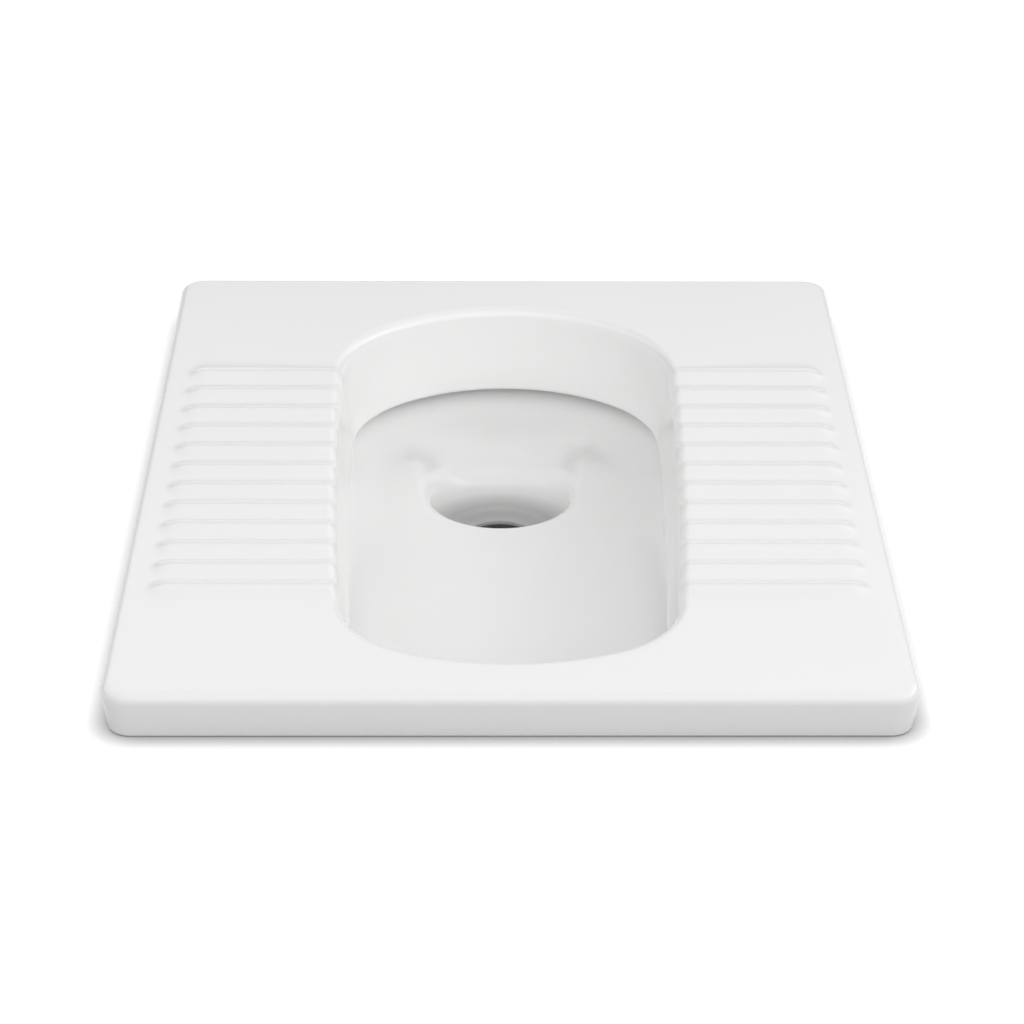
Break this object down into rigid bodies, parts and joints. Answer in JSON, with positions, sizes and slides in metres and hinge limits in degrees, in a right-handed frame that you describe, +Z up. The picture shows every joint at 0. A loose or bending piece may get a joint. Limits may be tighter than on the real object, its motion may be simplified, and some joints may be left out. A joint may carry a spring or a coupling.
{
  "type": "squat toilet",
  "caption": "Squat toilet pan with ribbed footrests, an oval bowl with a flush rim, a rear flush inlet and a drain connector under the sump.",
  "frame": {"origin": "on the floor, in the middle of the front part of the skirt's foot", "axes": "+Z is up out of the bowl, -Y is the front, where the user faces, and +Y is the back, with the flush inlet"},
  "size_m": [0.5, 0.615, 0.28],
  "materials": {
    "china": "white glaze, glossy",
    "bush_rubber": "moulded, satin",
    "connector_plastic": "moulded, satin",
    "seal_rubber": "moulded, satin"
  },
  "bodies": {
    "root": {"pan": "china", "flush_inlet_bush": "bush_rubber", "drain_connector": "connector_plastic", "connector_seal": "seal_rubber"}
  },
  "joints": []
}
